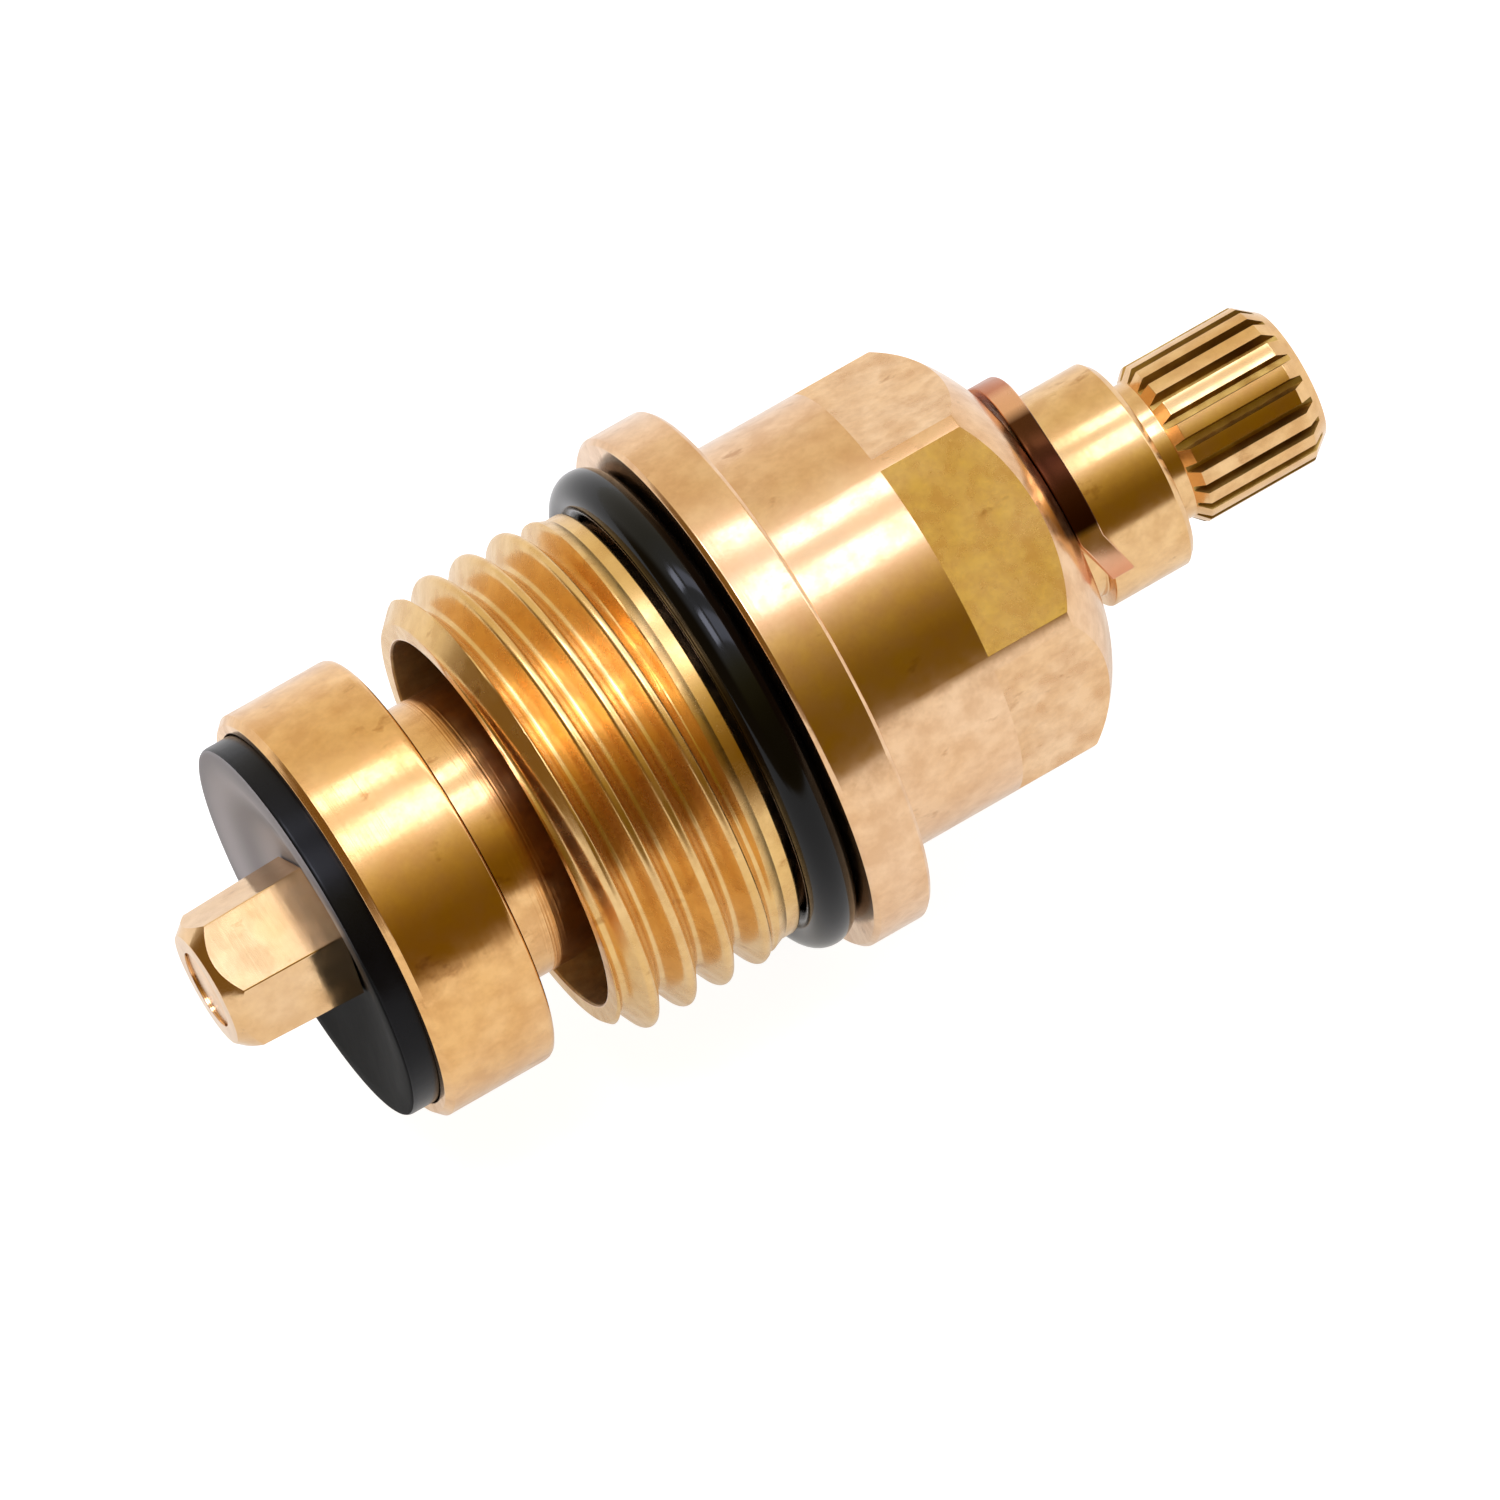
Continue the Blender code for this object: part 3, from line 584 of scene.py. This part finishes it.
# The disc's edge and the neck's foot are rounder than the rest, so the outline has three stretches,
# which meet on straight lines.
jumper_outline = softened([
    (STUD_END, 0), (STUD_END, STUD_RADIUS - STUD_CHAMFER), (STUD_END + STUD_CHAMFER, STUD_RADIUS),
    (CUP_FLOOR, STUD_RADIUS), (CUP_FLOOR, CUP_RADIUS), (DISC_RIM, CUP_RADIUS),
    (DISC_RIM, DISC_RADIUS - LATHE_CHAMFER), (DISC_RIM + LATHE_CHAMFER, DISC_RADIUS),
], FINE_ROUNDING, False)
jumper_outline += softened([
    (DISC_RIM + 0.4, DISC_RADIUS), (DISC_TOP, DISC_RADIUS), (DISC_TOP, JUMPER_NECK),
    (GUIDE_FOOT - 1, JUMPER_NECK),
], NECK_ROUNDING, False)
jumper_outline += softened([
    (GUIDE_FOOT - 0.5, JUMPER_NECK), (GUIDE_FOOT, JUMPER_NECK), (GUIDE_FOOT, GUIDE_CORNERS),
    (GUIDE_TOP - LATHE_CHAMFER, GUIDE_CORNERS), (GUIDE_TOP, GUIDE_CORNERS - LATHE_CHAMFER),
    (GUIDE_TOP, JUMPER_BORE + LATHE_CHAMFER), (GUIDE_TOP - LATHE_CHAMFER, JUMPER_BORE),
    (JUMPER_BORE_END, JUMPER_BORE), (JUMPER_BORE_END - DRILL_POINT, 0),
], FINE_ROUNDING, False)
jumper = turned("jumper_disc", jumper_outline)
combine(jumper, flat_cutters("guide_mill", GUIDE_FOOT - 0.05, GUIDE_TOP + OVERSHOOT,
                             GUIDE_BAR_FLATS, GUIDE_CORNERS))
smooth(jumper)
jumper.data.materials.clear()
jumper_brass = brass("jumper_brass", (0.88, 0.53, 0.25), (0.82, 0.46, 0.18), 0.15, marks=0.6)
jumper.data.materials.append(jumper_brass)
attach(jumper, "jumper")
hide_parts("jumper")

# The tap washer is moulded black rubber. It lies in the jumper's cup, where the nut presses it.
WASHER_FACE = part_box("tap_washer")[0][0] / MM
WASHER_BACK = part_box("tap_washer")[1][0] / MM
WASHER_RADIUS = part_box("tap_washer")[1][2] / MM
WASHER_HOLE, WASHER_SEAT_RADIUS, WASHER_LIP_INSIDE = 1.9, 3.7, 7.6
WASHER_DISH, WASHER_ROUNDING = 0.9, 0.25
washer = turned("rubber_tap_washer", softened([
    (WASHER_BACK, WASHER_HOLE), (WASHER_FACE + WASHER_DISH, WASHER_HOLE),
    (WASHER_FACE + WASHER_DISH, WASHER_SEAT_RADIUS), (WASHER_FACE, WASHER_LIP_INSIDE),
    (WASHER_FACE, WASHER_RADIUS), (WASHER_BACK, WASHER_RADIUS),
], WASHER_ROUNDING, True), closed=True)
smooth(washer)


def moulded(name, colour, gloss, roughness, grain, relief=0.25):
    """Moulded rubber or plastic: its colour, paler in clouds, and the fine grain of its skin."""
    finish = bpy.data.materials.new(name)
    finish.use_nodes = True
    tree = finish.node_tree
    shader = tree.nodes["Principled BSDF"]
    shader.inputs["Specular IOR Level"].default_value = gloss
    place = add_node(tree, "ShaderNodeTexCoord").outputs["Object"]
    clouds = add_node(tree, "ShaderNodeTexNoise", {"Vector": place}, {"Scale": 260, "Detail": 7})
    paler = [2.5 * value for value in colour]
    shade = colour_ramp(tree, clouds.outputs["Fac"], [(0.35, colour), (0.8, paler)])
    tree.links.new(shade, shader.inputs["Base Color"])
    dullness = add_node(tree, "ShaderNodeMapRange", {"Value": clouds.outputs["Fac"]},
                        {"To Min": roughness - 0.08, "To Max": roughness + 0.12})
    tree.links.new(dullness.outputs["Result"], shader.inputs["Roughness"])
    skin = add_node(tree, "ShaderNodeTexNoise", {"Vector": place}, {"Scale": grain, "Detail": 4})
    bump = add_node(tree, "ShaderNodeBump", {"Height": skin.outputs["Fac"]},
                    {"Strength": relief, "Distance": 0.03 * MM})
    tree.links.new(bump.outputs["Normal"], shader.inputs["Normal"])
    return finish


# The upper part of its face is painted grey, a painted reflection of the pale table, in faint rings
# round the nut. It grows upwards and backwards, from SHEEN_START to SHEEN_FULL mm from the axis.
# The rings are 2.8 mm apart, because a wave's phase is 20 times its scale times the radius.
PAINTED_SHEEN_GREY = (0.46, 0.44, 0.46)
SHEEN_START, SHEEN_FULL, SHEEN_TOWARDS = -3.0, 3.8, (0, 0.84, 0.54)
SHEEN_RING_SCALE, SHEEN_BETWEEN_RINGS = 1 / (20 * 0.45 * MM), 0.7


def with_painted_sheen(tree, place, colour):
    """The washer's rubber, with a painted grey reflection on its upper part."""
    height = add_node(tree, "ShaderNodeVectorMath", {0: place}, {1: SHEEN_TOWARDS},
                      operation="DOT_PRODUCT")
    upper = add_node(tree, "ShaderNodeMapRange", {"Value": height.outputs["Value"]},
                     {"From Min": SHEEN_START * MM, "From Max": SHEEN_FULL * MM},
                     interpolation_type="SMOOTHSTEP")
    rings = add_node(tree, "ShaderNodeTexWave", {"Vector": place},
                     {"Scale": SHEEN_RING_SCALE, "Distortion": 1.5, "Detail": 2},
                     wave_type="RINGS", rings_direction="X")
    faint = add_node(tree, "ShaderNodeMapRange", {"Value": rings.outputs["Fac"]},
                     {"To Min": SHEEN_BETWEEN_RINGS})
    sheen = add_node(tree, "ShaderNodeMath",
                     {0: upper.outputs["Result"], 1: faint.outputs["Result"]},
                     operation="MULTIPLY")
    return mixed(tree, colour, (*PAINTED_SHEEN_GREY, 1), sheen.outputs["Value"], "MIX")


washer.data.materials.clear()
edge_rubber = moulded("washer_edge_rubber", (0.003, 0.003, 0.004), 0.14, 0.22, 1500)
washer.data.materials.append(edge_rubber)
face_rubber = moulded("washer_face_rubber", (0.003, 0.003, 0.003), 0.03, 0.5, 1500)
# The face's rubber gets the painted grey reflection on its upper part.
recoloured(face_rubber, with_painted_sheen)
paint_faces(washer, face_rubber, lambda x, radius, outward, normal: normal.x < -0.7)
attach(washer, "jumper")
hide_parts("tap_washer")

# The washer's nut is cut from hexagonal brass bar and chamfered at its outer end. It is screwed
# onto the jumper's stud and presses the washer into the cup.
NUT_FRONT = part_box("washer_nut")[0][0] / MM
NUT_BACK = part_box("washer_nut")[1][0] / MM
NUT_FLATS, NUT_END_RADIUS, NUT_CHAMFER, NUT_BORE = 6.0, 2.72, 0.85, 1.8
NUT_TURN = 12.3
NUT_TAPER = math.radians(2.5)
NUT_FOOT = 0.6
NUT_ROUNDING = 0.06
BLANK_MARGIN = 0.3

nut = hexagonal_bar("brass_washer_nut", NUT_FRONT - OVERSHOOT, NUT_BACK + OVERSHOOT, NUT_FLATS,
                    math.radians(NUT_TURN))
bpy.ops.object.mode_set(mode="EDIT")
bpy.ops.mesh.select_all(action="SELECT")
bpy.ops.mesh.bevel(offset=NUT_ROUNDING * MM, segments=3)
bpy.ops.object.mode_set(mode="OBJECT")
nut_corner = NUT_FLATS / 2 / math.cos(math.radians(30))
blank_radius = nut_corner + BLANK_MARGIN
slope = NUT_CHAMFER * (blank_radius - NUT_END_RADIUS) / (nut_corner - NUT_END_RADIUS)
blank = turned("nut_blank", softened([
    (NUT_FRONT, NUT_BORE), (NUT_FRONT, NUT_END_RADIUS), (NUT_FRONT + slope, blank_radius),
    (NUT_BACK, blank_radius), (NUT_BACK, NUT_BORE),
], NUT_ROUNDING, True), steps=96, closed=True)
combine(nut, blank, "INTERSECT")

# Its flats draw in a little towards the outer end, from just above its foot.
for vertex in nut.data.vertices:
    x, y, z = (value / MM for value in vertex.co)
    slimmer = 1 - (NUT_BACK - NUT_FOOT - x) * math.tan(NUT_TAPER) / nut_corner
    if math.hypot(y, z) > NUT_BORE + 0.05:
        vertex.co.y *= min(1, slimmer)
        vertex.co.z *= min(1, slimmer)
smooth(nut)
nut.data.materials.clear()
nut_brass = brass("nut_brass", (0.87, 0.58, 0.33), (0.80, 0.49, 0.23), 0.1, 0.07, 0.05)
nut.data.materials.append(nut_brass)
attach(nut, "jumper")
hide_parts("washer_nut")

# The seal ring is a moulded rubber O-ring, stretched into the groove under the flange. The two
# small ones on the spindle and the plastic thrust washer are inside, and keep their CAD shapes.
RING_CORD = 1.0
RING_MIDDLE = 10.3
RING_AT = -1.1
RING_SQUASH = 1.05
bpy.ops.object.select_all(action="DESELECT")
bpy.ops.mesh.primitive_torus_add(
    major_radius=RING_MIDDLE * MM, minor_radius=RING_CORD * MM, major_segments=TURN_STEPS,
    minor_segments=40, location=(RING_AT * MM, 0, 0), rotation=(0, math.pi / 2, 0))
ring = bpy.context.object
ring.name = "flange_seal_ring"
bpy.ops.object.transform_apply(location=False, rotation=True, scale=True)
ring.scale.x = RING_SQUASH
bpy.ops.object.transform_apply(location=True, rotation=True, scale=True)
smooth(ring)
ring.data.materials.clear()
seal_rubber = moulded("seal_rubber", (0.001, 0.001, 0.001), 0.24, 0.11, 900, 0.05)
ring.data.materials.append(seal_rubber)
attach(ring, "body")
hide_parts("body_seal_ring")
for name in ("spindle_o_ring_upper", "spindle_o_ring_lower"):
    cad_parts[name].material_slots[0].material = seal_rubber
thrust_plastic = moulded("thrust_plastic", (0.25, 0.25, 0.24), 0.5, 0.45, 2000)
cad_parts["thrust_washer"].material_slots[0].material = thrust_plastic

# The headwork lies on a pale table in a room that is pale above and darker, in warm tones, down to
# the front. Over it hang two long soft lights, each with a brighter stretch towards the washer.
TABLE_SIZE = 3.0
TABLE_GLOW, TABLE_GLOW_SEEN = 0.62, 0.93
bpy.ops.object.select_all(action="DESELECT")
bpy.ops.mesh.primitive_plane_add(size=TABLE_SIZE, location=(0, 0, -FLANGE_RADIUS * MM))
table = bpy.context.object
table.name = "table_top"
paint = bpy.data.materials.new("pale_table")
paint.use_nodes = True
tree = paint.node_tree
coat = tree.nodes["Principled BSDF"]
coat.inputs["Base Color"].default_value = (0.3, 0.3, 0.3, 1)
coat.inputs["Roughness"].default_value = 0.9
coat.inputs["Emission Color"].default_value = (1, 1, 1, 1)
seen = add_node(tree, "ShaderNodeLightPath").outputs["Is Camera Ray"]
glow = add_node(tree, "ShaderNodeMapRange", {"Value": seen},
                {"To Min": TABLE_GLOW, "To Max": TABLE_GLOW_SEEN})
tree.links.new(glow.outputs["Result"], coat.inputs["Emission Strength"])
table.data.materials.append(paint)

# The room's colour by the angle round the axis in degrees, from the front upwards and over.
ROOM_FIRST, ROOM_LAST = -10, 190
ROOM_BY_ANGLE = [
    (2.0, (0.95, 0.93, 0.92)), (5.0, (0.26, 0.16, 0.04)), (12, (0.17, 0.10, 0.0)),
    (32, (0.18, 0.11, 0.005)), (44, (0.27, 0.18, 0.025)), (56, (0.46, 0.35, 0.09)),
    (66, (0.74, 0.64, 0.34)), (76, (1.08, 1.04, 1.06)), (97, (1.0, 1.0, 1.04)),
    (120, (0.96, 0.91, 0.80)), (138, (0.82, 0.75, 0.56)), (160, (0.86, 0.79, 0.64)),
    (188, (0.94, 0.92, 0.86)),
]

# Its pale end beyond the spindle and its dark end beyond the washer: x where each starts and is
# full, and its colour. Here x is how far a direction points along the axis, from -1 to 1.
ROOM_ENDS = [(0.88, 0.95, (0.92, 0.90, 0.90)), (-0.45, -0.75, (0.20, 0.12, 0.03))]

# The lights: angle of the middle and width in degrees, x where each starts and ends, strength.
STRIPS = [
    (85.5, 16.0, 0.13, 0.99, 3.4), (111.5, 10.5, 0.13, 0.99, 3.4),
    (85.5, 16.0, -0.35, -0.02, 8.0), (111.5, 10.5, -0.35, -0.02, 8.0),
]
STRIP_COLOUR = (0.92, 0.96, 1.16)
world = bpy.data.worlds.new("studio")
world.use_nodes = True
bpy.context.scene.world = world
tree = world.node_tree
tree.nodes.clear()
direction = add_node(tree, "ShaderNodeTexCoord").outputs["Generated"]
angle, sideways = angle_round_axis(tree, direction)
room = colour_by_angle(tree, angle, ROOM_FIRST, ROOM_LAST, ROOM_BY_ANGLE)
for start, full, colour in ROOM_ENDS:
    end = add_node(tree, "ShaderNodeMapRange", {"Value": sideways},
                   {"From Min": start, "From Max": full}, interpolation_type="SMOOTHSTEP")
    room = mixed(tree, room, (*colour, 1), end.outputs["Result"], "MIX")
for middle, width, start, end, strength in STRIPS:
    along = add_node(tree, "ShaderNodeMath", {0: sideways},
                     {1: (start + end) / 2, 2: (end - start) / 2}, operation="COMPARE")
    across = add_node(tree, "ShaderNodeMath", {0: angle},
                      {1: math.radians(middle), 2: math.radians(width / 2)}, operation="COMPARE")
    lit = add_node(tree, "ShaderNodeMath", {0: across.outputs["Value"], 1: along.outputs["Value"]},
                   operation="MULTIPLY")
    colour = [strength * value for value in STRIP_COLOUR]
    room = mixed(tree, room, (*colour, 1), lit.outputs["Value"], "MIX")

# To the camera, everything behind the table is white.
light = add_node(tree, "ShaderNodeBackground", {"Color": room})
wall = add_node(tree, "ShaderNodeBackground", values={"Color": (1, 1, 1, 1)})
seen = add_node(tree, "ShaderNodeLightPath").outputs["Is Camera Ray"]
choice = add_node(tree, "ShaderNodeMixShader", {
    "Fac": seen, 1: light.outputs["Background"], 2: wall.outputs["Background"]})
add_node(tree, "ShaderNodeOutputWorld", {"Surface": choice.outputs["Shader"]})
bpy.context.scene.view_settings.view_transform = "Standard"

# The camera looks down on the part from in front, a little from the washer's end, and stands far
# off, so that the part's far end looks as large as its near one.
TOWARDS_CAMERA = Vector((-0.1942, -0.53, 0.8255)).normalized()
AXIS_RISE = math.radians(29.65)
PIXELS_PER_MM, FRAME_PIXELS = 24.0, 1500
AXIS_AT = Vector((724.3, 695.3))
LENS, SENSOR = 432.0, 36.0

axis = Vector((1, 0, 0))
along = (axis - axis.dot(TOWARDS_CAMERA) * TOWARDS_CAMERA).normalized()
across = TOWARDS_CAMERA.cross(along)
right = math.cos(AXIS_RISE) * along - math.sin(AXIS_RISE) * across
up = math.sin(AXIS_RISE) * along + math.cos(AXIS_RISE) * across
off_centre = (Vector((FRAME_PIXELS / 2, FRAME_PIXELS / 2)) - AXIS_AT) / PIXELS_PER_MM
aim = off_centre.x * right - off_centre.y * up
distance = FRAME_PIXELS * LENS / SENSOR / PIXELS_PER_MM
camera_data = bpy.data.cameras.new("camera")
camera_data.lens = LENS
camera_data.sensor_width = SENSOR
camera_data.clip_start = 0.01
camera = bpy.data.objects.new("camera", camera_data)
bpy.context.scene.collection.objects.link(camera)
turn = Matrix((right, up, TOWARDS_CAMERA)).transposed()
camera.matrix_world = Matrix.Translation((aim + distance * TOWARDS_CAMERA) * MM) @ turn.to_4x4()
bpy.context.scene.camera = camera
